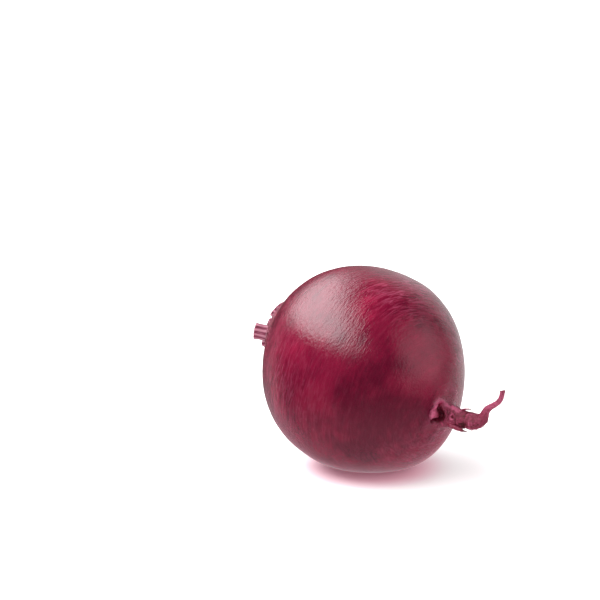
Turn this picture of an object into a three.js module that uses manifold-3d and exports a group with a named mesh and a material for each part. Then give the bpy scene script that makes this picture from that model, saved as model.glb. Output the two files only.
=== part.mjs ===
// A whole globe beetroot with its leaves cut off short, lying on its side.
//
// The swollen root, its crown and its taproot grew as one piece and are one solid.
// The cut leaf stalks that stand on the crown are pieces of their own.
//
// Millimetres, +Z up. The origin is the middle of the small flat spot that the
// root lies on, and the taproot points along +X, dipping a little towards the table.

import * as THREE from 'three';
import { mergeVertices } from 'three/addons/utils/BufferGeometryUtils.js';
import Module from 'manifold-3d';

// ---- driving dimensions -------------------------------------------------

// The swollen root, measured from its centre along its own axis.
const globe = {
  radius: 41.6, // at the widest place
  crownReach: 40.4, // centre to where the shoulder would close over, under the crown
  tapReach: 40.2, // centre to where the taproot leaves
  squareness: 2.12, // 2 is an ellipse, more is squarer shouldered
};

// The corky crown that the leaf stalks grew from: a low knob with a step round it, where
// older leaves broke away. across is from its middle, reach is from the globe's centre.
const crown = [
  { across: 0, reach: 43.6 },
  { across: 4.8, reach: 43.5 },
  { across: 9.2, reach: 43.1 },
  { across: 11.7, reach: 42.4 },
  { across: 12.6, reach: 41.2 },
  { across: 14.2, reach: 40.7 },
  { across: 15.3, reach: 39.8 },
  { across: 15.9, reach: 38.4 },
];

// The taproot, a bent cone with its thin end turned up.
const taproot = {
  sunk: 6, // how deep its wide end starts inside the globe
  thickness: [
    { along: 0, radius: 7.4 },
    { along: 0.14, radius: 6.2 },
    { along: 0.21, radius: 4.9 },
    { along: 0.3, radius: 4.1 },
    { along: 0.4, radius: 3.6 },
    { along: 0.5, radius: 3.1 },
    { along: 0.58, radius: 2.6 },
    { along: 0.68, radius: 1.9 },
    { along: 0.79, radius: 1.3 },
    { along: 1, radius: 0.95 },
  ],
  // Its line past the globe: how far out along the axis, how far up, how far to the +Y side.
  line: [
    { out: 0, up: 0, side: 0 },
    { out: 6.4, up: 0, side: 0 },
    { out: 11.1, up: 0.5, side: 0.2 },
    { out: 14.8, up: 1.8, side: 0.5 },
    { out: 17.3, up: 3.6, side: 0.9 },
    { out: 20.3, up: 7.2, side: 1.3 },
    { out: 22.9, up: 10.8, side: 1.8 },
    { out: 25.7, up: 14.8, side: 2.5 },
    { out: 26.8, up: 18.9, side: 2.8 },
  ],
};

// The rounded stump of a side root, beside the taproot.
const sideRoot = { polar: 7.1, around: 271, reach: 40.4, radius: 2.4 };

// Uneven growth. polar is the angle from the taproot, around is measured from
// straight up towards +Y, both in degrees. height is how far the skin moves out.
const swells = [
  { polar: 37, around: 160, height: 2.9, spread: 26 },
  { polar: 48, around: 62, height: -1.3, spread: 30 },
  { polar: 65, around: 190, height: -0.9, spread: 25 },
  { polar: 92, around: 200, height: 0.6, spread: 38 },
  { polar: 140, around: 330, height: 1.6, spread: 30 },
];

const pose = {
  dip: 15.4, // degrees that the taproot points below the horizontal
  flatSpot: 1.2, // how much of the underside is pressed flat
};

// Two rings of leaf stalks, cut off along one slanting line. out is the distance from the crown's middle.
const stalkRings = [
  { count: 5, out: 8.3, lean: 24, width: 8.2, thick: 5.4, firstAround: 20, lengths: [4.4, 5.9, 6.6, 2.1, 2.0] },
  { count: 3, out: 2.9, lean: 8, width: 4.6, thick: 3.9, firstAround: 55, lengths: [5.2, 4.8, 3.6] },
];
const stalkSunk = 4; // how far a stalk starts below the crown's top, before the crown is cut away
const stalkGap = 0.3; // between a stalk and the crown below it

const facets = { aroundGlobe: 60, alongGlobe: 30, aroundTaproot: 16, alongTaproot: 24, stump: 14, stalkCurve: 4 };

const skin = { color: 0x5c1230, roughness: 0.38 };
const stalkSkin = { color: 0xa83a62, roughness: 0.5 };

// ---- helpers ------------------------------------------------------------

const wasm = await Module();
wasm.setup();

// A closed geometry as a manifold-3d solid.
function toSolid(geometry) {
  const bare = geometry.clone();
  bare.deleteAttribute('normal');
  bare.deleteAttribute('uv');
  const merged = mergeVertices(bare, 1e-3);
  return new wasm.Manifold(new wasm.Mesh({
    numProp: 3,
    vertProperties: merged.attributes.position.array,
    triVerts: new Uint32Array(merged.index.array),
  }));
}

function toGeometry(solid) {
  const mesh = solid.getMesh();
  const geometry = new THREE.BufferGeometry();
  geometry.setAttribute('position', new THREE.BufferAttribute(new Float32Array(mesh.vertProperties), 3));
  geometry.setIndex(new THREE.BufferAttribute(new Uint32Array(mesh.triVerts), 1));
  geometry.computeVertexNormals();
  return geometry;
}

function namedMesh(name, geometry, look) {
  const mesh = new THREE.Mesh(geometry, new THREE.MeshStandardMaterial({ ...look, metalness: 0 }));
  mesh.name = name;
  return mesh;
}

// Direction from the centre in the beetroot's own frame: +Z to the taproot, -X up when it lies down.
function direction(polarDegrees, aroundDegrees) {
  const polar = THREE.MathUtils.degToRad(polarDegrees);
  const around = THREE.MathUtils.degToRad(aroundDegrees);
  return new THREE.Vector3(
    -Math.sin(polar) * Math.cos(around),
    Math.sin(polar) * Math.sin(around),
    Math.cos(polar),
  );
}

function eachVertex(geometry, change) {
  const position = geometry.attributes.position;
  const vertex = new THREE.Vector3();
  for (let i = 0; i < position.count; i++) {
    vertex.fromBufferAttribute(position, i);
    change(vertex);
    position.setXYZ(i, vertex.x, vertex.y, vertex.z);
  }
  return geometry;
}

// ---- the swollen root ---------------------------------------------------

// One quarter of a superellipse, share from 0 at the widest place to 1 on the axis.
function shoulder(share, reach) {
  const angle = (share * Math.PI) / 2;
  const power = 2 / globe.squareness;
  return new THREE.Vector2(globe.radius * Math.cos(angle) ** power, reach * Math.sin(angle) ** power);
}

// Half outline from the middle of the crown to the taproot end: radius and distance along the axis.
function globeOutline(grow) {
  const points = crown.map(({ across, reach }) => new THREE.Vector2(across, -reach));
  const crownEdge = crown.at(-1).across;
  const half = facets.alongGlobe / 2;
  for (let i = half; i >= 0; i--) {
    const point = shoulder(i / half, globe.crownReach);
    if (point.x > crownEdge) points.push(new THREE.Vector2(point.x, -point.y));
  }
  for (let i = 1; i <= half; i++) points.push(shoulder(i / half, globe.tapReach));
  for (const point of points) point.setLength(point.length() + grow);
  return points;
}

// Moves the skin out or in where growth was uneven.
function growUnevenly(vertex) {
  const towards = vertex.clone().normalize();
  let height = 0;
  for (const swell of swells) {
    const apart = THREE.MathUtils.radToDeg(towards.angleTo(direction(swell.polar, swell.around)));
    height += swell.height * Math.exp(-((apart / swell.spread) ** 2));
  }
  vertex.addScaledVector(towards, height);
}

function globeSolid(grow = 0) {
  const lathe = new THREE.LatheGeometry(globeOutline(grow), facets.aroundGlobe);
  lathe.rotateX(Math.PI / 2); // the lathe's own axis, +Y, becomes +Z
  return toSolid(eachVertex(lathe, growUnevenly));
}

// ---- the taproot and the side root --------------------------------------

function radiusAlong(share) {
  const stops = taproot.thickness;
  const next = Math.max(1, stops.findIndex((stop) => stop.along >= share));
  const [a, b] = [stops[next - 1], stops[next]];
  return THREE.MathUtils.mapLinear(share, a.along, b.along, a.radius, b.radius);
}

function taprootSolid() {
  const tilt = THREE.MathUtils.degToRad(pose.dip);
  const points = [new THREE.Vector3(0, 0, globe.tapReach - taproot.sunk)];
  for (const { out, up, side } of taproot.line) {
    // up is vertical once the beetroot lies down, so it is turned into the root's own frame.
    points.push(new THREE.Vector3(-up * Math.cos(tilt), side, globe.tapReach + out - up * Math.sin(tilt)));
  }
  const line = new THREE.CatmullRomCurve3(points, false, 'centripetal');

  // A straight cylinder of unit size, laid along the line ring by ring.
  const tube = new THREE.CylinderGeometry(1, 1, 1, facets.aroundTaproot, facets.alongTaproot);
  const across = new THREE.Vector3(0, 1, 0);
  eachVertex(tube, (vertex) => {
    const share = vertex.y + 0.5;
    const tangent = line.getTangentAt(share);
    const first = new THREE.Vector3().crossVectors(across, tangent).normalize();
    const second = new THREE.Vector3().crossVectors(tangent, first);
    const { x, z } = vertex;
    vertex.copy(line.getPointAt(share))
      .addScaledVector(first, z * radiusAlong(share))
      .addScaledVector(second, x * radiusAlong(share));
  });
  return toSolid(tube);
}

function sideRootSolid() {
  const stump = new THREE.SphereGeometry(sideRoot.radius, facets.stump, facets.stump);
  const centre = direction(sideRoot.polar, sideRoot.around).multiplyScalar(sideRoot.reach);
  return toSolid(stump.translate(centre.x, centre.y, centre.z));
}

// ---- the cut leaf stalks ------------------------------------------------

// A leaf stalk's section: round on the outside, with a shallow channel on the inside.
function stalkSection(width, thick) {
  const section = new THREE.Shape();
  section.moveTo(-width / 2, 0);
  section.bezierCurveTo(-width * 0.46, -thick * 0.62, width * 0.46, -thick * 0.62, width / 2, 0);
  section.bezierCurveTo(width * 0.46, thick * 0.34, width * 0.24, thick * 0.36, 0, thick * 0.24);
  section.bezierCurveTo(-width * 0.24, thick * 0.36, -width * 0.46, thick * 0.34, -width / 2, 0);
  return section;
}

function stalkSolid(ring, index, crownSolid) {
  const stalk = new THREE.ExtrudeGeometry(stalkSection(ring.width, ring.thick), {
    depth: stalkSunk + ring.lengths[index],
    bevelEnabled: false,
    curveSegments: facets.stalkCurve,
  });
  stalk.rotateX(THREE.MathUtils.degToRad(ring.lean));
  stalk.translate(0, -ring.out, crown[0].reach - stalkSunk);
  stalk.rotateZ(THREE.MathUtils.degToRad(ring.firstAround + (360 / ring.count) * index));
  stalk.rotateX(Math.PI); // the crown is on the -Z side
  return toSolid(stalk).subtract(crownSolid);
}

// ---- assembly -----------------------------------------------------------

// Lays the beetroot down: the taproot goes from +Z to +X and dips.
const layDown = new THREE.Matrix4().makeRotationY(Math.PI / 2 + THREE.MathUtils.degToRad(pose.dip));

const upright = globeSolid().add(taprootSolid()).add(sideRootSolid());
const lying = toGeometry(upright).applyMatrix4(layDown);
lying.computeBoundingBox();
const floorHeight = lying.boundingBox.min.z + pose.flatSpot;

// Everything below the floor is pressed flat.
const block = new THREE.BoxGeometry(4 * globe.radius, 4 * globe.radius, globe.radius);
block.translate(0, 0, floorHeight - globe.radius / 2);
const rested = toGeometry(toSolid(lying).subtract(toSolid(block)));

// The middle of the flat spot becomes the origin.
const spot = new THREE.Box3();
eachVertex(rested, (vertex) => {
  if (vertex.z < floorHeight + 1e-3) spot.expandByPoint(vertex);
});

const beetroot = new THREE.Group();
spot.getCenter(beetroot.position).negate();
beetroot.add(namedMesh('beetroot', rested, skin));

const clearance = globeSolid(stalkGap);
let number = 0;
for (const ring of stalkRings) {
  for (let index = 0; index < ring.count; index++) {
    number += 1;
    const stalk = toGeometry(stalkSolid(ring, index, clearance)).applyMatrix4(layDown);
    beetroot.add(namedMesh(`leaf_stalk_${number}`, stalk, stalkSkin));
  }
}

const group = new THREE.Group();
group.add(beetroot);
export default group;
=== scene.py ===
import random
from math import cos, degrees, exp, hypot, pi, radians, sin, sqrt, tanh

import bmesh
import bpy
from mathutils import Matrix, Quaternion, Vector
from mathutils.noise import fractal, noise, voronoi


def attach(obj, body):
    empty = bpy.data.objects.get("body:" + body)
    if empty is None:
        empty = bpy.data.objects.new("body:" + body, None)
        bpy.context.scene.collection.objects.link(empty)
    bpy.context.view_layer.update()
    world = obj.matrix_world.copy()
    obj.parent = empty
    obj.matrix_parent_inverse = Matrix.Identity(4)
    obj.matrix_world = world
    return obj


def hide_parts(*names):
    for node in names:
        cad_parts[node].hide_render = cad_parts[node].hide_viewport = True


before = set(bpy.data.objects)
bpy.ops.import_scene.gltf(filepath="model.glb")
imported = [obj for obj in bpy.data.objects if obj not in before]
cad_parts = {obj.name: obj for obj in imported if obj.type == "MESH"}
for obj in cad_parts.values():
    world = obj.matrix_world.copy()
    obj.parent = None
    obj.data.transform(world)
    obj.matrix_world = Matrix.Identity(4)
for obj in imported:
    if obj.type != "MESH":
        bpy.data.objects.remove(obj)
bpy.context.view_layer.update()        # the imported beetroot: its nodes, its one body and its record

mm = 0.001

# The beetroot is modelled upright in its own millimetres, crown at -Z, taproot at +Z
# and -X uppermost, then laid down on its flat spot.
lie = {"centre": (-1.74, -0.96, 40.54), "dip": 15.4}
layDown = (
    Matrix.Scale(mm, 4)
    @ Matrix.Translation(lie["centre"])
    @ Matrix.Rotation(radians(90 + lie["dip"]), 4, "Y")
)


def smoothstep(low, high, value):
    t = min(1, max(0, (value - low) / (high - low)))
    return t * t * (3 - 2 * t)


def bell(distance, width):
    return exp(-((distance / width) ** 2))


def direction(polar, around):
    polar, around = radians(polar), radians(around)
    out = sin(polar)
    return Vector((-out * cos(around), out * sin(around), cos(polar)))


def turnBetween(a, b):
    # in degrees, the short way round
    return (a - b + 180) % 360 - 180


def lookUp(stops, value):
    for (a, low), (b, high) in zip(stops, stops[1:]):
        if value <= b:
            return low + (high - low) * max(0, (value - a) / (b - a))
    return stops[-1][1]


def pick(stops, value):
    # what belongs to the first stop above the value
    return next(entry for stop, entry in stops if value < stop)


def spaced(line, step):
    # walks a line of points in even steps; step may be a function of the place reached
    out, travelled, wanted = [line[0]], 0, 0
    for a, b in zip(line, line[1:]):
        length = (b - a).length
        stride = step(a) if callable(step) else step
        while wanted + stride <= travelled + length:
            wanted += stride
            out.append(a.lerp(b, (wanted - travelled) / length))
        travelled += length
    if (out[-1] - line[-1]).length > stride * 0.3:
        out.append(line[-1])
    return out


def curveThrough(points, step):
    # a smooth curve through the points, as points step apart
    points = [Vector(p) for p in points]
    ends = [2 * points[0] - points[1]] + points + [2 * points[-1] - points[-2]]
    pieces, fine = 24, []
    for a, b, c, d in zip(ends, ends[1:], ends[2:], ends[3:]):
        for k in range(pieces):
            t = k / pieces
            fine.append(0.5 * (2 * b + (c - a) * t + (2 * a - 5 * b + 4 * c - d) * t ** 2
                               + (3 * b - a - 3 * c + d) * t ** 3))
    return spaced(fine + [points[-1]], step)


def stitch(mesh, low, high):
    # joins two rings, with quads where they have as many vertices and triangles where not
    n, m = len(low), len(high)
    if n == m:
        for i in range(n):
            mesh.faces.new((low[i], low[(i + 1) % n], high[(i + 1) % n], high[i]))
        return
    i = j = 0
    while i < n or j < m:
        if (i + 1) * m <= (j + 1) * n:
            mesh.faces.new((low[i % n], low[(i + 1) % n], high[j % m]))
            i += 1
        else:
            mesh.faces.new((low[i % n], high[(j + 1) % m], high[j % m]))
            j += 1


def settle(p):
    # lays a point down; the underside is pressed flat where it meets the table
    p = layDown @ p
    soft = globe["pressed"] * mm
    p.z = (p.z + sqrt(p.z * p.z + soft * soft)) / 2
    return p


def placed(name, data):
    thing = bpy.data.objects.new(name, data)
    bpy.context.scene.collection.objects.link(thing)
    return thing


def pieceFrom(mesh, name, material, slot, replaced=None, **marks):
    # marks are numbers kept on the piece's points, for its material
    data = bpy.data.meshes.new(name)
    mesh.to_mesh(data)
    mesh.free()
    data.shade_smooth()
    data.materials.append(material)
    for mark, numbers in marks.items():
        wide = len(numbers) == 3 * len(data.vertices)
        layer = data.attributes.new(mark, "FLOAT_VECTOR" if wide else "FLOAT", "POINT")
        layer.data.foreach_set("vector" if wide else "value", numbers)
    piece = placed(name, data)
    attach(piece, "root")
    if replaced:
        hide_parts(replaced)
    print(name, "-", sum(len(f.vertices) - 2 for f in data.polygons), "triangles")


# Materials

def add(tree, kind, inputs=None, **settings):
    # a shader node; each input is a number or another node's output
    made = tree.nodes.new("ShaderNode" + kind)
    for name, value in settings.items():
        setattr(made, name, value)
    for name, value in (inputs or {}).items():
        if isinstance(value, bpy.types.NodeSocket):
            tree.links.new(value, made.inputs[name])
        else:
            made.inputs[name].default_value = value
    return made


def attribute(tree, name, output="Fac"):
    return add(tree, "Attribute", attribute_name=name).outputs[output]


def maths(tree, operation, a, b):
    return add(tree, "Math", {0: a, 1: b}, operation=operation).outputs[0]


def weighted(tree, patterns, shares):
    # the sum of the patterns named in shares
    total = None
    for name, share in shares.items():
        part = maths(tree, "MULTIPLY", patterns[name], share)
        total = part if total is None else maths(tree, "ADD", total, part)
    return total


def between(tree, value, low, high, new=(0.0, 1.0)):
    made = add(tree, "MapRange", {"Value": value, 1: low, 2: high, 3: new[0], 4: new[1]})
    made.interpolation_type = "SMOOTHSTEP"
    return made.outputs[0]


def streaks(tree, scale, detail, roughness, warp=0.0):
    # noise drawn out along the rings of growth; scale is round the root, then along it
    moved = add(tree, "Mapping", {"Vector": attribute(tree, "grain", "Vector"),
                                  "Scale": (scale[0], scale[0], scale[1])})
    made = add(tree, "TexNoise", {"Vector": moved.outputs[0], "Scale": 1.0, "Detail": detail,
                                  "Roughness": roughness, "Distortion": warp})
    return made.outputs["Fac"]


def blotches(tree, size, detail):
    # plain noise; size is in millimetres
    place = add(tree, "TexCoord").outputs["Object"]
    made = add(tree, "TexNoise", {"Vector": place, "Scale": 1 / (size * mm), "Detail": detail})
    return made.outputs["Fac"]


def blend(tree, share, a, b, kind="MIX"):
    made = add(tree, "Mix", {"Factor": share}, data_type="RGBA", blend_type=kind)
    for socket, value in ((made.inputs[6], a), (made.inputs[7], b)):
        if isinstance(value, bpy.types.NodeSocket):
            tree.links.new(value, socket)
        else:
            socket.default_value = (*value, 1)
    return made.outputs[2]


def embossed(tree, shader, height, strength):
    bump = add(tree, "Bump", {"Strength": strength, "Distance": mm, "Height": height})
    tree.links.new(bump.outputs[0], shader.inputs["Normal"])


def newMaterial(name, look):
    material = bpy.data.materials.new(name)
    material.use_nodes = True
    tree = material.node_tree
    shader = tree.nodes["Principled BSDF"]
    for key, socket in (("dull", "Roughness"), ("ior", "IOR")):
        if key in look:
            shader.inputs[socket].default_value = look[key]
    return material, tree, shader


skinLook = {
    "dark": (0.056, 0.0012, 0.0097),
    "middle": (0.11, 0.002, 0.0162),
    "crimson": (0.195, 0.0035, 0.0265),
    "dustySheen": (0.28, 0.075, 0.13),
    "root": (0.20, 0.011, 0.046),
    "rootRed": (0.115, 0.005, 0.022),
    "rootPale": (0.33, 0.052, 0.115),
    "rootDark": (0.085, 0.0005, 0.009),
    "cork": (0.21, 0.042, 0.068),
    "corkRed": (0.115, 0.005, 0.02),
    "corkPale": (0.40, 0.21, 0.27),
    "corkGrey": (0.11, 0.018, 0.045),
    "crack": (0.06, 0.003, 0.011),
    "collar": (0.155, 0.014, 0.025),   # the redder skin round the crown
    "gloss": 0.03,         # roughness where the skin is smoothest
    "fibres": 1.0,         # strength of the fine relief
    "ior": 1.47,
}

# streaks of the skin: (scale round the root, along it), detail, roughness, warp
skinStreaks = {
    "broad": ((2.6, 5.0), 5.0, 0.6, 0.5),
    "stroke": ((4.4, 7.4), 4.0, 0.62, 1.7),
    "fine": ((8.0, 11.0), 4.0, 0.65, 0.3),
    "hair": ((26.0, 17.0), 2.0, 0.5, 0.3),
}

# and its blotches: size in millimetres, detail
skinBlotches = {"cloud": (14.0, 3.0), "speck": (0.9, 4.0)}

# how much of each pattern goes into what
skinShares = {
    "toneAndPaintedLight": {"broad": 0.26, "fine": 0.1, "cloud": 0.68, "toneAndPaintedLight": 0.5},
    "wearAndShade": {"depth": 1.0, "speck": 0.6, "stroke": 0.5},
    "dull": {"stroke": 0.16, "cloud": 0.12, "root": 0.33, "cork": 0.58},
    "relief": {"fine": 0.08, "hair": 0.14, "broad": 0.10, "stroke": 0.06, "rough": 0.4},
}

# where a colour sets in and where it is full, in the pattern that carries it
skinLevels = {
    "middle": (0.35, 0.63), "crimson": (0.61, 0.93), "dustySheen": (0.42, 0.66), "collar": (0.38, 0.56),
    "root": (0.36, 0.62), "rootPale": (0.06, 0.42), "rootDark": (-0.02, -0.38),
    "cork": (0.3, 0.7), "corkSpeck": (0.56, 0.8), "corkEdge": (0.4, 0.8), "crack": (0.05, -0.35),
}


def makeSkinMaterial():
    look, shares, levels = skinLook, skinShares, skinLevels
    material, tree, shader = newMaterial("beetSkin", look)
    patterns = {name: streaks(tree, *kind) for name, kind in skinStreaks.items()}
    for name, kind in skinBlotches.items():
        patterns[name] = blotches(tree, *kind)
    for name in ("toneAndPaintedLight", "dustAndSheen", "brush", "collar", "cork", "plate", "inner", "depth", "root"):
        patterns[name] = attribute(tree, name)
    stroke, depth = patterns["stroke"], patterns["depth"]

    def share(name, pattern, new=(0.0, 1.0)):
        return between(tree, pattern, *levels[name], new)

    # the globe's skin: dark maroon brushed with crimson
    # the tone patches lighten and darken it, partly as painted light and shade
    level = weighted(tree, patterns, shares["toneAndPaintedLight"])
    brushed = maths(tree, "MULTIPLY", maths(tree, "SUBTRACT", stroke, 0.52), patterns["brush"])
    level = maths(tree, "ADD", level, brushed)
    colour = blend(tree, share("middle", level), look["dark"], look["middle"])
    colour = blend(tree, share("crimson", level), colour, look["crimson"])
    # pale scurf, partly a painted sheen of streaky reflection
    scurfAndSheen = maths(tree, "MULTIPLY", share("dustySheen", stroke), patterns["dustAndSheen"])
    colour = blend(tree, scurfAndSheen, colour, look["dustySheen"])
    ruddy = maths(tree, "MULTIPLY", share("collar", stroke), patterns["collar"])
    colour = blend(tree, ruddy, colour, look["collar"])

    # the taproot is pinker, with painted shade darkening its creases and a painted highlight paling
    # its ridges, mixed with its own blotches
    bark = blend(tree, share("root", patterns["fine"]), look["rootRed"], look["root"])
    wearAndShade = maths(tree, "SUBTRACT", weighted(tree, patterns, shares["wearAndShade"]), 0.55)
    bark = blend(tree, share("rootPale", wearAndShade), bark, look["rootPale"])
    bark = blend(tree, share("rootDark", wearAndShade), bark, look["rootDark"])
    colour = blend(tree, patterns["root"], colour, bark)

    # the crown's cork: pink and red plates, pale edges, dark cracks, greyer in the middle
    cork = blend(tree, share("cork", patterns["plate"]), look["corkRed"], look["cork"])
    cork = blend(tree, patterns["inner"], cork, look["corkGrey"])
    cork = blend(tree, share("corkSpeck", patterns["speck"], (0.0, 0.7)), cork, look["corkPale"])
    cork = blend(tree, share("crack", depth), cork, look["crack"])
    cork = blend(tree, share("corkEdge", depth, (0.0, 0.8)), cork, look["corkPale"])
    colour = blend(tree, patterns["cork"], colour, cork)
    tree.links.new(colour, shader.inputs["Base Color"])

    # glossy, but uneven, and dull on the root and the cork
    dull = weighted(tree, patterns, shares["dull"])
    tree.links.new(maths(tree, "ADD", dull, look["gloss"]), shader.inputs["Roughness"])

    # fine relief in millimetres, coarser on the root and the cork
    bare = maths(tree, "MAXIMUM", patterns["cork"], patterns["root"])
    patterns["rough"] = maths(tree, "MULTIPLY", patterns["speck"], bare)
    embossed(tree, shader, weighted(tree, patterns, shares["relief"]), look["fibres"])
    return material


stalkLook = {
    "dark": (0.11, 0.006, 0.028),
    "middle": (0.18, 0.018, 0.055),
    "rib": (0.38, 0.15, 0.20),
    "flesh": (0.15, 0.012, 0.038),
    "fleshPale": (0.27, 0.08, 0.11),
    "bundle": (0.08, 0.003, 0.013),
    "dull": 0.42,
    "fibres": 0.5,
    "ior": 1.45,
}


def makeStalkMaterial():
    look = stalkLook
    material, tree, shader = newMaterial("beetStalk", look)
    rib, cut, bundle = attribute(tree, "rib"), attribute(tree, "cut"), attribute(tree, "bundle")
    fine = streaks(tree, (2.4, 0.9), 4.0, 0.6)
    cloud = blotches(tree, 2.2, 4.0)
    colour = blend(tree, between(tree, fine, 0.38, 0.58), look["dark"], look["middle"])
    colour = blend(tree, between(tree, fine, 0.54, 0.72, (0.0, 0.7)), colour, look["rib"])
    colour = blend(tree, between(tree, rib, 0.35, 0.95, (0.0, 0.85)), colour, look["rib"])
    flesh = blend(tree, between(tree, cloud, 0.35, 0.65), look["flesh"], look["fleshPale"])
    flesh = blend(tree, bundle, flesh, look["bundle"])
    colour = blend(tree, cut, colour, flesh)
    tree.links.new(colour, shader.inputs["Base Color"])
    embossed(tree, shader, maths(tree, "MULTIPLY", fine, 0.25), look["fibres"])
    return material


flakeLook = {
    "dark": (0.12, 0.009, 0.026),
    "pink": (0.24, 0.045, 0.08),
    "pale": (0.42, 0.24, 0.29),
    "dull": 0.75,
}


def makeFlakeMaterial():
    look = flakeLook
    material, tree, shader = newMaterial("beetFlake", look)
    cloud = blotches(tree, 1.6, 4.0)
    colour = blend(tree, between(tree, cloud, 0.35, 0.65), look["dark"], look["pink"])
    colour = blend(tree, maths(tree, "MULTIPLY", attribute(tree, "edge"), 0.6), colour, look["pale"])
    tree.links.new(colour, shader.inputs["Base Color"])
    return material


# The swollen root, crown and taproot: one skin

globe = {
    "radius": 41.6,
    "crownReach": 40.4,
    "tapReach": 40.2,
    "squareness": 2.12,
    # across the crown from its middle, and how far from the globe's centre
    "crown": [(0, 43.6), (4.8, 43.5), (9.2, 43.1), (11.7, 42.4), (12.6, 41.2),
              (14.2, 40.7), (15.3, 39.8), (16.4, 38.6), (18.6, 36.7)],
    "filletStart": 10.8,   # distance from the axis where the skin starts to sweep into the root
    "filletEnd": 3.6,      # how far along the taproot the sweep ends
    "filletDip": 0.4,      # how much it undercuts the taproot there
    "segments": 240,
    "crownSegments": [(4, 60), (9, 120), (99, 240)],   # up to these distances from its middle
    "rootEdge": 38,        # from this height on, as many as the taproot has
    "steps": [(-34, 0.38), (38.6, 0.46), (99, 0.27)],   # along the skin, up to these heights
    # uneven growth: polar angle from the taproot, angle around, height, spread
    "swells": [(37, 160, 2.9, 26), (48, 62, -1.3, 30), (65, 190, -0.9, 25),
               (92, 200, 0.6, 38), (140, 330, 1.6, 30)],
    "swellFade": (44, 54),   # the taproot, this far from the centre, has none
    "pressed": 0.35,       # how softly the underside turns into the flat spot
    "crownTo": -30,        # the crown's marks show below this height
    "folds": (30, 38),     # the heights where the folds by the taproot start and are full
    # patches of lighter or darker skin, partly its own tone and partly painted light and shade: polar,
    # around, amount, spread
    "toneAndPaintedLight": [(80, 335, 0.22, 20), (62, 2, -0.1, 13), (42, 270, -0.28, 22), (30, 335, 0.3, 17),
             (34, 190, 0.26, 22), (30, 130, 0.32, 22), (110, 310, 0.15, 40), (100, 120, 0.25, 35),
             (120, 220, -0.3, 30), (54, 240, -0.27, 20), (62, 300, -0.18, 14)],
    # patches brushed with crimson and dark strokes: polar, around, amount, spread
    "brush": [(78, 350, 1.0, 24), (130, 320, 0.7, 30), (115, 150, 0.7, 40), (150, 240, 0.8, 34)],
    "twist": (15, 25),     # the streaks climb this many millimetres within so many degrees of the top
    # pale scurf on the skin, partly a painted sheen at the rims: polar, around, amount, spread
    "dustAndSheen": [(38, 190, 0.22, 26), (32, 125, 0.26, 26), (80, 16, 0.5, 13), (56, 30, 0.5, 12),
             (35, 40, 0.4, 12), (50, 60, 0.35, 18), (77, 350, 0.36, 14), (120, 60, 0.35, 50),
             (130, 250, 0.25, 40)],
}

taproot = {
    # out along the axis, up, to the +Y side
    "line": [(0, 0.2, 0), (3.4, 0.7, 0), (7.3, 0.8, 0.1), (10.7, 1.8, 0.2), (14.1, 2.6, 0.35),
             (16.6, 3.75, 0.6), (18.7, 5.5, 0.9), (19.5, 7.4, 1.1), (20.2, 9.4, 1.3),
             (21.9, 11.6, 1.6), (24.1, 13.7, 1.9), (25.7, 15.6, 2.2), (26.6, 17.9, 2.5),
             (26.9, 19.8, 2.7), (26.8, 20.4, 2.75)],
    # distance past the globe, radius
    "thickness": [(-1, 6.5), (2.3, 4.9), (5, 4.2), (7.3, 3.85), (10.6, 3.6), (13.9, 3.4), (16.5, 3.05),
                  (19, 2.25), (20.9, 1.75), (22.9, 1.5), (25.4, 1.2), (28, 1.1), (33.4, 1.05),
                  (34.4, 1.12), (34.8, 0.85), (35.0, 0.4)],
    "segments": [(13, 160), (24, 80), (99, 40)],   # up to these distances past the globe
    "step": 0.3,           # from ring to ring
    "foot": -1.5,          # its own marks start here, a little way into the globe
    "thin": (17, 25),      # where it turns paler, past the globe
    "dried": (33.8, 34.8),  # and dark again at its very tip
}

# Marks on the crown: scars of older leaves, as (distance from the middle, angle around, half width)
crownMarks = {
    "scars": [(13.6, 8, 3.4), (14.4, 47, 3.0), (13.2, 88, 3.6), (14.8, 121, 2.8), (13.9, 160, 3.5),
              (14.2, 203, 3.2), (13.4, 241, 3.6), (14.9, 279, 2.9), (13.8, 320, 3.4),
              (17.6, 28, 3.0), (18.2, 104, 3.3), (17.4, 183, 2.8), (18.0, 262, 3.2), (17.7, 338, 2.7)],
    "plates": (2.3, 0.44),  # cells of the corky plates, round the crown and outwards
    "rise": 0.6,            # how much higher some plates are than others
    "lift": 0.6,            # how far their outer edges curl up
    "crack": 0.32,          # how deep the cracks between them are
    "crackWide": 0.16,      # in cells
    "bumps": 0.2,
    "scarTall": 1.25,       # half a scar, outwards
    "lip": 0.5,             # round a scar
    "bowl": 0.3,            # inside it
    "dot": 0.22,            # three torn bundles in the bowl
    "fade": (15.5, 22.5),   # where the cork gives way to smooth skin
    "inner": (8, 12.5),     # where its grey middle ends
    "collar": (19, 34),     # and the redder skin round it
}

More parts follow.
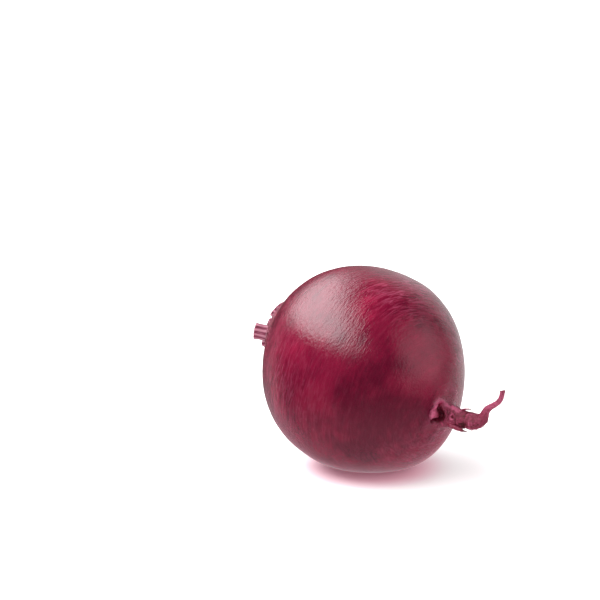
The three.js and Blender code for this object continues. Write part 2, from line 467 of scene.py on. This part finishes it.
# Marks on the taproot. A place is (distance from the axis, angle around, height along the axis)
# beside the root, and (distance past the globe, angle around) on the root itself.
rootMarks = {
    "knob": {"at": (7.4, 286, 40.2), "rise": 2.2, "across": 2.9, "sideways": 3.4},
    "crevice": {"path": [(6.5, 304, 41.0), (5.8, 300, 41.5), (5.1, 286, 42.5), (4.9, 268, 42.6),
                         (5.5, 257, 41.8), (6.9, 258, 40.6)], "depth": 2.5, "width": 0.85},
    "ridge": {"path": [(8.8, 308, 39.5), (8.2, 322, 39.9), (6.6, 334, 40.8), (5.2, 342, 42.2),
                       (4.3, 346, 45.0), (3.9, 349, 47.5)], "rise": 0.68, "width": 1.15},
    # distance past the globe, angle around, depth, and a crease's spread or a pit's size
    "creases": [(3.7, 294, 0.5, 26), (4.5, 292, 0.45, 28), (5.2, 284, 0.4, 28), (8.2, 262, 0.3, 30),
                (11.8, 290, 0.26, 75), (13.7, 280, 0.2, 60), (15.8, 270, 0.16, 60),
                (17.6, 300, 0.12, 60)],
    # swollen and shrunken rings all round: (distance past the globe, rise, width)
    "bands": [(11.4, -0.18, 1.2), (13.5, 0.14, 1.1), (16.3, -0.06, 0.5)],
    "scar": {"at": (6.3, 290), "radius": 0.95, "rise": 0.36, "cup": 0.4, "girth": 3.9},
    "pits": [(10.9, 246, 0.7, 0.8), (12.2, 256, 0.55, 0.7), (9.6, 250, 0.5, 0.6), (8.6, 236, 0.4, 0.5),
             (11.4, 232, 0.5, 0.8), (14.6, 238, 0.3, 0.5)],
    "pitGirth": 3.6,         # the root's radius by the pits
    "last": 19,              # past here there are only rings and fine wrinkles
    "pressed": {"at": (1.6, 5), "depth": 1.0, "spread": (2.4, 48)},   # slimmer on top of the neck
    "ringStep": 0.95,
}


def meridian():
    # half outline from the middle of the crown to where the taproot's straight part starts,
    # as (distance from the axis, distance along it)
    power = 2 / globe["squareness"]

    def shoulder(angle, reach):
        return Vector((globe["radius"] * cos(angle) ** power, reach * sin(angle) ** power))

    outline = curveThrough([(r, -reach) for r, reach in globe["crown"]], 0.25)
    edge = outline[-1].x + 1
    pieces = 240
    for k in range(pieces):
        p = shoulder(pi / 2 * (1 - k / pieces), globe["crownReach"])
        if p.x > edge:
            outline.append(Vector((p.x, -p.y)))
    for k in range(pieces):
        p = shoulder(pi / 2 * k / pieces, globe["tapReach"])
        if p.x > globe["filletStart"]:
            outline.append(p)
    start, before = outline[-1], outline[-2]
    past = globe["filletEnd"]
    end = Vector((lookUp(taproot["thickness"], past), globe["tapReach"] + past))
    slope = (start - before).normalized()
    corner = start + slope * (start.x - end.x - globe["filletDip"]) / -slope.x
    pieces = 24
    for k in range(1, pieces + 1):
        t = k / pieces
        outline.append(start * (1 - t) ** 2 + corner * 2 * t * (1 - t) + end * t ** 2)
    return spaced(outline, lambda p: pick(globe["steps"], p.y))


def taprootLine():
    tilt = radians(lie["dip"])
    points = []
    for out, up, side in taproot["line"]:
        points.append((-up * cos(tilt), side, globe["tapReach"] + out - up * sin(tilt)))
    return curveThrough(points, taproot["step"])


def beetrootRings():
    # every ring has a middle, two directions across, a radius, how many segments,
    # and how far along the skin and past the globe it is
    rings, along, last = [], 0, None
    for p in meridian():
        along += (p - last).length if last else 0
        last = p
        segments = globe["segments"]
        if p.y < 0:
            segments = pick(globe["crownSegments"], p.x)
        elif p.y > globe["rootEdge"]:
            segments = taproot["segments"][0][1]
        if p.x > 0.1:
            rings.append((Vector((0, 0, p.y)), Vector((-1, 0, 0)), Vector((0, 1, 0)), p.x,
                          segments, along, p.y - globe["tapReach"]))
    line = taprootLine()
    second, out = Vector((0, 1, 0)), 0
    for a, b in zip(line, line[1:]):
        ahead = (b - a).normalized()
        out += (b - a).length
        second = (second - ahead * second.dot(ahead)).normalized()
        if out > globe["filletEnd"] + 0.1:
            radius, segments = lookUp(taproot["thickness"], out), pick(taproot["segments"], out)
            rings.append((b, ahead.cross(second), second, radius, segments,
                          along + out - globe["filletEnd"], out))
    return rings


def patches(p, places):
    towards = p.normalized()
    total = 0
    for polar, around, amount, spread in places:
        total += amount * bell(degrees(towards.angle(direction(polar, around))), spread)
    return total


def growth(p):
    return patches(p, globe["swells"]) * (1 - smoothstep(*globe["swellFade"], p.length))


def twist(around):
    # how far the streaks climb on their way round; they sink back underneath
    climb, spread = globe["twist"]
    turn = turnBetween(degrees(around), 0)
    return climb * (0.5 + 0.5 * tanh(turn / spread) - (turn + 180) / 360)


def crownHeight(p, around, reach):
    # the relief there, how corky it is and the shade of its plate
    ragged = 2.6 * noise(p * 0.16) + 1.3 * noise(p * 0.45)
    low, high = crownMarks["fade"]
    cork = 1 - smoothstep(low, high, reach + ragged * 1.6)
    if cork <= 0:
        return 0, 0, 0
    sideways, outwards = crownMarks["plates"]
    cell = Vector((sideways * cos(around), sideways * sin(around), reach * outwards))
    cell += 0.3 * Vector((noise(p * 0.5), noise(p * 0.5 + Vector((9, 0, 0))), 0))
    spots, middles = voronoi(cell)
    plate = 0.5 + 0.5 * noise(middles[0] * 5.3)
    crack = 1 - smoothstep(0, crownMarks["crackWide"], spots[1] - spots[0])
    height = crownMarks["rise"] * (plate - 0.45) + crownMarks["lift"] * (cell.z - middles[0].z)
    height -= crownMarks["crack"] * crack
    height += crownMarks["bumps"] * fractal(p * 0.9, 0.8, 2.1, 4)
    for distance, angle, half in crownMarks["scars"]:
        u = radians(turnBetween(degrees(around), angle)) * distance / half
        v = (reach - distance) / crownMarks["scarTall"] + 0.25 * u * u
        q = hypot(u, v)
        if q < 2:
            lip, bowl = bell(q - 1, 0.27), bell(q, 0.75)
            height = height * (1 - 0.7 * bowl) + crownMarks["lip"] * lip - crownMarks["bowl"] * bowl
            for dot in (-0.5, 0, 0.5):
                height -= crownMarks["dot"] * bell(hypot(u - dot, v * 0.5), 0.13)
    return height * cork, cork, plate


def beside(reach, around, along):
    a = radians(around)
    return Vector((-reach * cos(a), reach * sin(a), along))


def onRoot(out, around, at, radius):
    # how far a place on the root is from a mark, over the skin
    return hypot(out - at[0], radians(turnBetween(around, at[1])) * radius)


def farFrom(p, path):
    # the distance from a point to a path of places beside the root
    places = [beside(*place) for place in path]
    return min((p - a.lerp(b, k / 6)).length for a, b in zip(places, places[1:]) for k in range(7))


def neckSlim(out, around):
    # how much the neck is pinched from above
    pressed = rootMarks["pressed"]
    turn = turnBetween(degrees(around), pressed["at"][1])
    return (pressed["depth"] * bell(out - pressed["at"][0], pressed["spread"][0])
            * bell(turn, pressed["spread"][1]))


def knobShift(p):
    # the rounded stump of a side root leans out of the taproot's foot
    knob = rootMarks["knob"]
    a = radians(knob["at"][1])
    d = p - beside(*knob["at"])
    sideways = d.dot(Vector((sin(a), cos(a), 0)))
    across = sqrt(max(0, d.length_squared - sideways * sideways))
    q = hypot(sideways / knob["sideways"], across / knob["across"])
    lean = Vector((-0.75 * cos(a), 0.75 * sin(a), 0.66))
    return lean * knob["rise"] * max(0, 1 - q * q) ** 0.7


def rootHeight(p, out, around, radius):
    # wrinkles and pores all over, then the marks that have a place
    here = degrees(around)
    c, s = cos(around), sin(around)
    ringed = Vector((1.1 * c, 1.1 * s, out * rootMarks["ringStep"]))
    height = 0.2 * noise(ringed) + 0.12 * noise(ringed * 2.3)
    height -= 0.16 * bell(noise(ringed * 1.6 + Vector((4, 0, 0))), 0.07)
    height += 0.17 * noise(Vector((4.4 * c, 4.4 * s, out * 0.25))) + 0.16 * noise(p * 0.55)
    height += 0.06 * noise(p * 1.9)
    height *= smoothstep(taproot["foot"], 3, out) * min(1, radius / 3.2)
    for at, rise, width in rootMarks["bands"]:
        height += rise * bell(out - at + 0.5 * noise(p * 0.3), width)
    if out > rootMarks["last"]:
        return height
    ridge, crevice = rootMarks["ridge"], rootMarks["crevice"]
    height += ridge["rise"] * bell(farFrom(p, ridge["path"]), ridge["width"])
    height -= crevice["depth"] * bell(farFrom(p, crevice["path"]), crevice["width"])
    # a crease is a groove with a lip behind it
    for at, angle, depth, spread in rootMarks["creases"]:
        turn = turnBetween(here, angle)
        bent = at - 0.45 * (turn / spread) ** 2
        height -= depth * bell(out - bent, 0.24) * bell(turn, spread)
        height += 0.6 * depth * bell(out - bent - 0.48, 0.26) * bell(turn, spread)
    scar = rootMarks["scar"]
    near = onRoot(out, here, scar["at"], scar["girth"])
    height += scar["rise"] * bell(near - scar["radius"], 0.33) - scar["cup"] * bell(near, 0.65)
    for at, angle, depth, size in rootMarks["pits"]:
        height -= depth * bell(onRoot(out, here, (at, angle), rootMarks["pitGirth"]), size)
    return height


def skinHeight(p, around, along, out, reach):
    c, s = cos(around), sin(around)
    height = -0.3 * noise(p * 0.05) - 0.1 * noise(p * 0.12)
    height -= 0.035 * noise(Vector((2.4 * c, 2.4 * s, along * 0.26)))
    height -= 0.014 * noise(Vector((5 * c, 5 * s, along * 0.62)))
    # the skin is drawn into soft folds where the root leaves it
    low, high = globe["folds"]
    if p.z > low:
        pucker = smoothstep(low, high, p.z)
        folds = noise(Vector((2.3 * c, 2.3 * s, along * 0.04)))
        height -= 0.22 * pucker * bell(reach - 8.5, 4.5) * folds
        height += 0.2 * pucker * bell(reach - 9.5, 2.2)
    return height * (1 - smoothstep(-0.5, 2.5, out))


crownSpots = []      # places on the crown for flakes, with their outward directions
rootRings = []       # rings of the taproot, for what grows on it


def makeBeetroot(material):
    mesh = bmesh.new()
    rows, facts = [], []
    for middle, first, second, radius, segments, along, out in beetrootRings():
        if out > taproot["foot"]:
            rootRings.append((out, middle, first, second, radius))
        row = []
        for j in range(segments):
            around = 2 * pi * j / segments
            p = middle + (first * cos(around) + second * sin(around)) * radius
            row.append(mesh.verts.new(p + p.normalized() * growth(p)))
            facts.append((around, along, out, radius))
        if rows:
            stitch(mesh, rows[-1], row)
        rows.append(row)
    for row, turn, edge in ((rows[0], -1, facts[0]), (rows[-1], 1, facts[-1])):
        middle = sum((v.co for v in row), Vector()) / len(row)
        tip = mesh.verts.new(middle + Vector((0, 0, 0.15 * turn)))
        facts.append((0, edge[1], edge[2], 0))
        for a, b in zip(row, row[1:] + row[:1]):
            mesh.faces.new((a, b, tip) if turn > 0 else (b, a, tip))
    bmesh.ops.recalc_face_normals(mesh, faces=mesh.faces)
    mesh.normal_update()
    moved, marks = [], {}
    for name in ("grain", "cork", "plate", "inner", "depth", "collar", "root"):
        marks[name] = []
    for v, (around, along, out, radius) in zip(mesh.verts, facts):
        p, reach = v.co, hypot(v.co.x, v.co.y)
        cork = plate = slim = 0
        shift = Vector()
        if p.z < globe["crownTo"]:
            height, cork, plate = crownHeight(p, around, reach)
            height += skinHeight(p, around, along, out, reach) * (1 - cork)
        else:
            height = skinHeight(p, around, along, out, reach)
            if out > taproot["foot"]:
                height += rootHeight(p, out, around, radius)
                slim = neckSlim(out, around)
                shift = knobShift(p) if out < 5 else shift
        moved.append(p + v.normal * (height - slim) + shift)
        if cork > 0.3:
            crownSpots.append((moved[-1], v.normal.copy(), reach, around))
        marks["grain"] += [cos(around), sin(around), (along - twist(around)) * 0.1]
        marks["cork"].append(cork)
        marks["plate"].append(plate)
        marks["inner"].append(cork * (1 - smoothstep(*crownMarks["inner"], reach)))
        # what stands out turns paler, as a painted highlight, and so does the thin end, up to its
        # dried tip
        thin, dried = smoothstep(*taproot["thin"], out), smoothstep(*taproot["dried"], out)
        marks["depth"].append(height + 0.1 * shift.length + 0.24 * thin - 0.4 * dried)
        collar = 1 - smoothstep(*crownMarks["collar"], reach + 5 * noise(p * 0.12))
        marks["collar"].append(0.8 * collar if p.z < 0 else 0)
        # bark starts in a ragged line, and covers what stands out by the foot
        rooty = smoothstep(-0.6, 2.6, out + 0.8 * noise(p * 0.6))
        raised = min(1, 0.8 * shift.length + max(0, height))
        marks["root"].append(max(rooty, raised) if out > taproot["foot"] else 0)
    for name, least in (("toneAndPaintedLight", 0), ("dustAndSheen", 0.015), ("brush", 0.08)):
        marks[name] = [least + patches(p, globe[name]) for p in moved]
    for v, p in zip(mesh.verts, moved):
        v.co = settle(p)
    pieceFrom(mesh, "beetroot_skin", material, "skin", "beetroot", **marks)


makeBeetroot(makeSkinMaterial())


# Cut leaf stalks

stalks = {
    # count, distance from the crown's middle, lean, width, thickness, first angle, lengths
    "rings": [(5, 8.3, 24, 8.2, 5.4, 20, (4.4, 5.9, 6.6, 2.1, 2.0)),
              (3, 2.9, 8, 4.6, 3.9, 55, (5.2, 4.8, 3.6))],
    "crownTop": 43.6,    # from the globe's middle
    "buried": 2.4,       # how deep a stalk starts in the crown
    "ribs": 5,
    "ribHeight": 0.34,
    "flare": 0.35,       # how much it widens into the crown
    "around": 64,
    "step": 0.3,         # from ring to ring
    "slants": ((-0.1, 0.1), (-0.14, 0.06)),   # of the cut, sideways and inwards
    "bundles": 5,        # darker strands that show in the cut
    "bundleRing": (0.31, 0.27),   # in widths and thicknesses
    "bundleSize": 0.42,
    # the cut end closes in rings: (scale, how far it sinks)
    "cut": [(0.93, -0.08), (0.9, 0.02), (0.78, 0.12), (0.64, 0.17), (0.5, 0.19), (0.36, 0.21),
            (0.2, 0.23), (0.07, 0.24)],
}


def bezier(a, b, c, d, t):
    s = 1 - t
    return a * s ** 3 + b * 3 * s * s * t + c * 3 * s * t * t + d * t ** 3


def stalkSection(width, thick):
    # round and ribbed outside, with a shallow channel inside
    w, t = width / 2, thick
    curves = [((-w, 0), (-0.92 * w, -0.62 * t), (0.92 * w, -0.62 * t), (w, 0)),
              ((w, 0), (0.92 * w, 0.34 * t), (0.48 * w, 0.36 * t), (0, 0.24 * t)),
              ((0, 0.24 * t), (-0.48 * w, 0.36 * t), (-0.92 * w, 0.34 * t), (-w, 0))]
    shares = (0.6, 0.2, 0.2)
    points = []
    for curve, share in zip(curves, shares):
        a, b, c, d = (Vector(p) for p in curve)
        count = round(stalks["around"] * share)
        for k in range(count):
            p = bezier(a, b, c, d, k / count)
            rib = 0
            if share > 0.5:
                rib = 0.5 - 0.5 * cos(2 * pi * stalks["ribs"] * k / count)
                p = p + p.normalized() * stalks["ribHeight"] * (rib - 0.5)
            points.append((p, rib))
    return points


def makeStalk(number, ring, index, material):
    count, outwards, lean, width, thick, firstAngle, lengths = ring
    chance = random.Random(number)
    section = stalkSection(width, thick)
    top, bottom = lengths[index], -stalks["buried"]
    turn = radians(firstAngle + 360 / count * index)
    place = (
        Matrix.Rotation(pi, 4, "X")
        @ Matrix.Rotation(turn, 4, "Z")
        @ Matrix.Translation((0, -outwards, stalks["crownTop"]))
        @ Matrix.Rotation(radians(lean), 4, "X")
    )
    slant = [chance.uniform(*ends) for ends in stalks["slants"]]
    seed = Vector((number * 3.1, 0, 0))
    mesh = bmesh.new()
    rows, grain, ribs, cuts, bundles = [], [], [], [], []

    def ringOf(height, scale, cut=0.0, sink=0.0):
        row = []
        for j, (p, rib) in enumerate(section):
            q = p * scale
            ripple = 0.12 * noise(Vector((q.x * 0.7, q.y * 0.7, height * 0.4)) + seed)
            q = q * (1 + ripple * (1 - cut))
            z = height + (slant[0] * q.x + slant[1] * q.y) * smoothstep(bottom, top, height) - sink
            z += cut * 0.16 * noise(Vector((q.x * 1.3, q.y * 1.3, 5)) + seed)
            row.append(mesh.verts.new((q.x, q.y, z)))
            angle = 2 * pi * j / len(section)
            grain.extend((cos(angle) * 2, sin(angle) * 2, height * 0.1))
            ribs.append(rib * (1 - cut))
            cuts.append(cut)
            spot = 0
            for k in range(stalks["bundles"]):
                a = pi * (1.12 + 0.19 * k)
                wide, deep = stalks["bundleRing"]
                at = Vector((cos(a) * width * wide, sin(a) * thick * deep))
                spot = max(spot, bell((q - at).length, stalks["bundleSize"]))
            bundles.append(spot * cut)
        if rows:
            stitch(mesh, rows[-1], row)
        rows.append(row)

    steps = max(8, round((top - bottom) / stalks["step"]))
    for k in range(steps + 1):
        height = bottom + (top - bottom) * k / steps
        ringOf(height, 1 + stalks["flare"] * bell(height - bottom, 2.6) - 0.05)
    for scale, sink in stalks["cut"]:
        ringOf(top, scale, 1.0, sink)
    mesh.faces.new(rows[0][::-1])
    mesh.faces.new(rows[-1])
    for v in mesh.verts:
        v.co = settle(place @ v.co)
    pieceFrom(mesh, f"leaf_stalk_cut_{number}", material, "stalk", f"leaf_stalk_{number}",
              grain=grain, rib=ribs, cut=cuts, bundle=bundles)


stalkMaterial = makeStalkMaterial()
stalkNumber = 0
for stalkRing in stalks["rings"]:
    for stalkIndex in range(stalkRing[0]):
        stalkNumber += 1
        makeStalk(stalkNumber, stalkRing, stalkIndex, stalkMaterial)


# Torn papery flakes, what is left of older leaves

flakes = {
    "count": 130,
    "width": (1.6, 4.8),
    "height": (0.7, 2.5),
    "thick": 0.16,
    "turn": 0.5,            # all angles are in radians
    "lean": (0.25, 1.3),
    "bend": (-0.5, 1.0),
    "buried": 0.3,
    "crown": (4, 20),       # how far from the crown's middle they grow
    "low": (13, 0.55),      # past this far out they are this much lower
    "squares": (8, 4),      # across and up each side of a flake
    "seed": 5,
}


def makeFlakes(material):
    chance = random.Random(flakes["seed"])
    mesh = bmesh.new()
    edges = []
    across, tall = flakes["squares"]
    nearest, furthest = flakes["crown"]
    chosen = [spot for spot in crownSpots if nearest < spot[2] < furthest]
    for n in range(flakes["count"]):
        base, normal, reach, around = chance.choice(chosen)
        width, height = chance.uniform(*flakes["width"]), chance.uniform(*flakes["height"])
        if reach > flakes["low"][0]:
            height *= flakes["low"][1]
        outward = Vector((-cos(around), sin(around), 0))
        sideways = normal.cross(outward).normalized()
        spin = Matrix.Rotation(chance.uniform(-flakes["turn"], flakes["turn"]), 3, normal)
        sideways, outward = spin @ sideways, spin @ outward
        lean, bend = chance.uniform(*flakes["lean"]), chance.uniform(*flakes["bend"])
        seed = Vector((n * 1.7, 0, 0))
        sheets = []
        for side in (0, 1):
            sheet = []
            for i in range(across + 1):
                u = 2 * i / across - 1
                ragged = 0.72 + 0.5 * noise(Vector((u * 2.6, 0, 0)) + seed)
                line = []
                for j in range(tall + 1):
                    v = j / tall
                    rise = height * v * ragged * (1 - 0.55 * u ** 4)
                    tilt = lean + bend * v
                    p = base + sideways * u * width / 2 * (1 - 0.25 * v)
                    up = rise * cos(tilt) - flakes["buried"]
                    p += normal * up + outward * rise * sin(tilt)
                    p += outward * (-0.22 * width * u * u)
                    p += (outward * 0.7 - normal * 0.7) * flakes["thick"] * side * (1 - 0.7 * v)
                    line.append(mesh.verts.new(settle(p)))
                    edges.append(smoothstep(0.45, 1, v))
                sheet.append(line)
            sheets.append(sheet)
        front, back = sheets
        for i in range(across):
            for j in range(tall):
                mesh.faces.new((front[i][j], front[i + 1][j], front[i + 1][j + 1], front[i][j + 1]))
                mesh.faces.new((back[i][j], back[i][j + 1], back[i + 1][j + 1], back[i + 1][j]))
        rim = [(i, 0) for i in range(across)] + [(across, j) for j in range(tall)]
        rim += [(i, tall) for i in range(across, 0, -1)] + [(0, j) for j in range(tall, 0, -1)]
        for (i, j), (k, m) in zip(rim, rim[1:] + rim[:1]):
            mesh.faces.new((front[k][m], front[i][j], back[i][j], back[k][m]))
    bmesh.ops.recalc_face_normals(mesh, faces=mesh.faces)
    pieceFrom(mesh, "crown_flakes", material, "skin", edge=edges)


makeFlakes(makeFlakeMaterial())


# Side rootlets and a torn strip of skin on the taproot

rootlets = {
    # thick part first; each place is (distance past the globe, angle around, height above the root)
    "spur": {"path": [(8.6, 2, -0.4), (10.0, 2, 0.35), (11.3, 2, 0.95), (12.5, 358, 1.35),
                      (13.4, 353, 1.45)],
             "wide": (0.55, 0.5, 0.42, 0.34, 0.18), "flat": 0.85},
    "flap": {"path": [(4.2, 240, -0.5), (6.0, 231, 0.05), (8.0, 225, 0.45), (10.0, 220, 0.9),
                      (11.8, 217, 1.15), (13.3, 215, 1.15)],
             "wide": (0.9, 1.5, 1.7, 1.5, 0.85, 0.1), "flat": 0.55},
    "hairs": 26,
    "all": ((3.5, 30), (0, 360)),    # where hairs grow: past the globe, around
    "bunch": ((8, 19), (160, 250)),  # where every second one does
    "long": (0.5, 1.5),
    "thick": (0.07, 0.16),
    "seed": 11,
    "step": 0.22,
    "sides": 10,
}


def rootPlace(out, around, lift):
    # a point above the root's skin, and the way that is outwards there
    middle, first, second, radius = min(rootRings, key=lambda ring: abs(ring[0] - out))[1:]
    a = radians(around)
    across = first * cos(a) + second * sin(a)
    return middle + across * (radius + lift), across


def addStrand(mesh, path, wide, flat, tips):
    # a tapering strand along a path of places on the root, closed at both ends
    places = [rootPlace(*place) for place in path]
    line = curveThrough([p for p, across in places], rootlets["step"])
    across = places[len(places) // 2][1]
    sides, rows = rootlets["sides"], []
    for n, p in enumerate(line):
        share = n / (len(line) - 1)
        ahead = (line[min(n + 1, len(line) - 1)] - line[max(n - 1, 0)]).normalized()
        side = ahead.cross(across).normalized()
        over = side.cross(ahead)
        spot = share * (len(wide) - 1)
        k = min(int(spot), len(wide) - 2)
        radius = wide[k] + (wide[k + 1] - wide[k]) * (spot - k)
        radius *= 1 + 0.25 * noise(p * 1.3)
        row = []
        for j in range(sides):
            a = 2 * pi * j / sides
            row.append(mesh.verts.new(p + (side * cos(a) + over * sin(a) * flat) * radius))
            tips.append(smoothstep(0.6, 1, share))
        if rows:
            stitch(mesh, rows[-1], row)
        rows.append(row)
    mesh.faces.new(rows[0][::-1])
    mesh.faces.new(rows[-1])


def makeRootlets(material):
    chance = random.Random(rootlets["seed"])
    mesh = bmesh.new()
    tips = []
    for name in ("spur", "flap"):
        strand = rootlets[name]
        addStrand(mesh, strand["path"], strand["wide"], strand["flat"], tips)
    for n in range(rootlets["hairs"]):
        out, around = (chance.uniform(*ends) for ends in rootlets["all"])
        if n % 2:
            out, around = (chance.uniform(*ends) for ends in rootlets["bunch"])
        long = chance.uniform(*rootlets["long"])
        path = [(out, around, -0.25), (out + 0.4 * long, around + chance.uniform(-6, 6), 0.3 * long),
                (out + long, around + chance.uniform(-14, 14), chance.uniform(0.3, 0.8) * long)]
        thick = chance.uniform(*rootlets["thick"])
        addStrand(mesh, path, (thick, thick * 0.7, 0.03), 1.0, tips)
    bmesh.ops.recalc_face_normals(mesh, faces=mesh.faces)
    for v in mesh.verts:
        v.co = settle(v.co)
    pieceFrom(mesh, "taproot_rootlets", material, "skin", tip=tips)


rootletLook = {
    "young": (0.17, 0.007, 0.03),
    "pale": (0.22, 0.028, 0.065),
    "dry": (0.06, 0.012, 0.014),
    "dull": 0.5,
    "bumps": 0.6,
}


def makeRootletMaterial():
    look = rootletLook
    material, tree, shader = newMaterial("beetRootlet", look)
    cloud = blotches(tree, 1.2, 4.0)
    colour = blend(tree, between(tree, cloud, 0.4, 0.65), look["young"], look["pale"])
    colour = blend(tree, attribute(tree, "tip"), colour, look["dry"])
    tree.links.new(colour, shader.inputs["Base Color"])
    embossed(tree, shader, maths(tree, "MULTIPLY", cloud, 0.3), look["bumps"])
    return material


makeRootlets(makeRootletMaterial())


# The camera looks at the side with the taproot, a little from above.
camera = {
    "azimuth": 38,
    "elevation": 15,
    "distance": 1000,
    "frame": 600,          # the picture is this many pixels wide
    "pixel": 0.4054,       # millimetres to a pixel at the globe
    "globeAt": (365.2, 369.3),   # the globe's middle in the picture
    "sensor": 36,
}


def viewAxes():
    a, e = radians(camera["azimuth"]), radians(camera["elevation"])
    right = Vector((cos(a), sin(a), 0))
    back = Vector((sin(a) * cos(e), -cos(a) * cos(e), sin(e)))
    return right, back.cross(right), back


def inView(steps):
    # so far to the right, up and back as the camera sees it
    return sum((axis * step for axis, step in zip(viewAxes(), steps)), Vector())


def makeCamera():
    right, up, back = viewAxes()
    x, y = camera["globeAt"]
    half = camera["frame"] / 2
    pixel = camera["pixel"]
    aim = Vector(lie["centre"]) - right * (x - half) * pixel + up * (y - half) * pixel
    data = bpy.data.cameras.new("camera")
    data.sensor_width = camera["sensor"]
    data.lens = data.sensor_width * camera["distance"] / (camera["frame"] * pixel)
    eye = placed("camera", data)
    eye.location = (aim + back * camera["distance"]) * mm
    eye.rotation_euler = back.to_track_quat("Z", "Y").to_euler()
    bpy.context.scene.camera = eye


# Studio: places are right, up and back from the camera's view of the globe, in metres
studio = {
    # a big softbox overhead; fade is how far it dims towards each edge: far, near, left, right
    "keySoftbox": {"place": (-1.27, 1.0, 0.55), "towards": (0, 1, 0), "turn": -8,
                   "size": (4.3, 2.24), "glow": 8.2, "colour": (1, 0.97, 0.99),
                   "fade": (1.7, 2.4, 1.25, 0.36)},
    # a smaller, weaker one at the right
    "sideSoftbox": {"place": (1.04, 0.25, 0.36), "size": (1.36, 1.45), "glow": 1.15,
                    "colour": (1, 0.97, 1), "fade": (0.1, 0.1, 0.15, 0.15)},
    # a soft pink light low on the right, not seen in the gloss
    "lowLight": {"place": (0.5, -0.12, 0.3), "size": (0.3, 0.3), "glow": 3.0,
                 "colour": (1, 0.72, 0.85), "glossy": False},
    "fill": 0.9,           # soft light from all round
    "behind": 0.8,         # how bright the far side of the studio looks in the skin
    "front": 0.02,         # the side where the camera stands
    "frontTo": (0.25, 0.72),   # where one gives way to the other
    "table": 0.6,          # and the table
    "tableColour": (1.0, 0.72, 0.8),
    "tableFrom": (0.1, 0.95),
    "tableFar": (1.0, 0.62, 0.72),   # what it tints the rest with, low down
    "tableFarFrom": (0.27, 0.5),
    # a dark corner behind
    "shade": {"towards": (-0.36, 0.3, -0.88), "from": 0.84, "to": 0.96, "light": 0.1},
    "floorSize": 3.0,
    "floor": (0.9, 0.88, 0.88),
    "dull": 0.6,           # the floor's roughness
    "floorBounceTint": (0.92, 0.62, 0.7),  # painted pink bounce light in the table's shadow under the beetroot
    "rosy": (0.018, 0.036),  # it fades between these distances from the middle, in metres
    "lit": 0.2,            # the table glows softly from below
    "glowBounceTint": (1, 0.36, 0.5),   # and pink under the beetroot, painted bounce light in its shadow
}


def softbox(name, settings):
    data = bpy.data.lights.new(name, "AREA")
    data.shape = "RECTANGLE"
    data.size, data.size_y = settings["size"]
    data.energy = settings["glow"] * pi * data.size * data.size_y
    data.color = settings["colour"]
    lamp = placed(name, data)
    lamp.location = Vector(lie["centre"]) * mm + inView(settings["place"])
    away = inView(settings.get("towards", settings["place"])).normalized()
    # the long side runs towards the camera
    back = viewAxes()[2]
    ahead = (back - away * back.dot(away)).normalized()
    ahead.rotate(Quaternion(away, radians(settings.get("turn", 0))))
    lamp.rotation_euler = Matrix((ahead, away.cross(ahead), away)).transposed().to_euler()
    lamp.visible_glossy = settings.get("glossy", True)
    lamp.visible_camera = False
    if "fade" in settings:
        fadeEdges(data, settings["fade"])


def fadeEdges(data, fade):
    # the cloth of a softbox glows less towards its edges
    data.use_nodes = True
    tree = data.node_tree
    place = add(tree, "SeparateXYZ", {0: add(tree, "NewGeometry").outputs["Parametric"]}).outputs
    far, near, left, right = fade
    glow = 1.0
    for k, size, start, end in ((0, data.size, far, near), (1, data.size_y, left, right)):
        glow = maths(tree, "MULTIPLY", glow, between(tree, place[k], 0, start / size))
        glow = maths(tree, "MULTIPLY", glow, between(tree, place[k], 1, 1 - end / size))
    tree.links.new(glow, tree.nodes["Emission"].inputs["Strength"])


def makeWorld():
    world = bpy.data.worlds.new("studio")
    bpy.context.scene.world = world
    world.use_nodes = True
    tree = world.node_tree
    background = tree.nodes["Background"]
    back = viewAxes()[2]
    shade = studio["shade"]
    corner = inView(shade["towards"])
    rays = add(tree, "LightPath").outputs
    place = add(tree, "TexCoord").outputs["Generated"]

    def along(axis):
        made = add(tree, "VectorMath", {0: place, 1: tuple(axis)}, operation="DOT_PRODUCT")
        return made.outputs["Value"]

    # what the skin's gloss sees: a bright far side with one dark corner, and the table below
    gloss = between(tree, along(-back), *studio["frontTo"], (studio["front"], studio["behind"]))
    dim = between(tree, along(corner.normalized()), shade["from"], shade["to"], (1.0, shade["light"]))
    down = along(Vector((0, 0, -1)))
    tint = blend(tree, between(tree, down, *studio["tableFarFrom"]), (1, 1, 1), studio["tableFar"])
    gloss = blend(tree, maths(tree, "MULTIPLY", gloss, dim), (0, 0, 0), tint)
    table = between(tree, down, *studio["tableFrom"], (0.0, studio["table"]))
    table = blend(tree, table, (0, 0, 0), studio["tableColour"])
    gloss = blend(tree, 1.0, gloss, table, "LIGHTEN")
    colour = blend(tree, rays["Is Glossy Ray"], (studio["fill"],) * 3, gloss)
    colour = blend(tree, rays["Is Camera Ray"], colour, (1, 1, 1))
    tree.links.new(colour, background.inputs["Color"])


def makeFloor():
    data = bpy.data.meshes.new("floor")
    s = studio["floorSize"]
    data.from_pydata([(-s, -s, 0), (s, -s, 0), (s, s, 0), (-s, s, 0)], [], [(0, 1, 2, 3)])
    floor = placed("floor", data)
    material, tree, shader = newMaterial("paleFloor", studio)
    place = add(tree, "TexCoord").outputs["Object"]
    far = add(tree, "VectorMath", {0: place}, operation="LENGTH").outputs["Value"]
    # a painted pink tint of bounced light, in colour and glow, near the beetroot
    away = between(tree, far, *studio["rosy"])
    colour = blend(tree, away, studio["floorBounceTint"], studio["floor"])
    tree.links.new(colour, shader.inputs["Base Color"])
    lit = blend(tree, away, studio["glowBounceTint"], (1, 1, 1))
    tree.links.new(lit, shader.inputs["Emission Color"])
    shader.inputs["Emission Strength"].default_value = studio["lit"]
    data.materials.append(material)
    floor.visible_glossy = False


makeCamera()
for lampName in ("keySoftbox", "sideSoftbox", "lowLight"):
    softbox(lampName, studio[lampName])
makeWorld()
makeFloor()
bpy.context.scene.view_settings.view_transform = "Standard"
print("studio and camera ready")
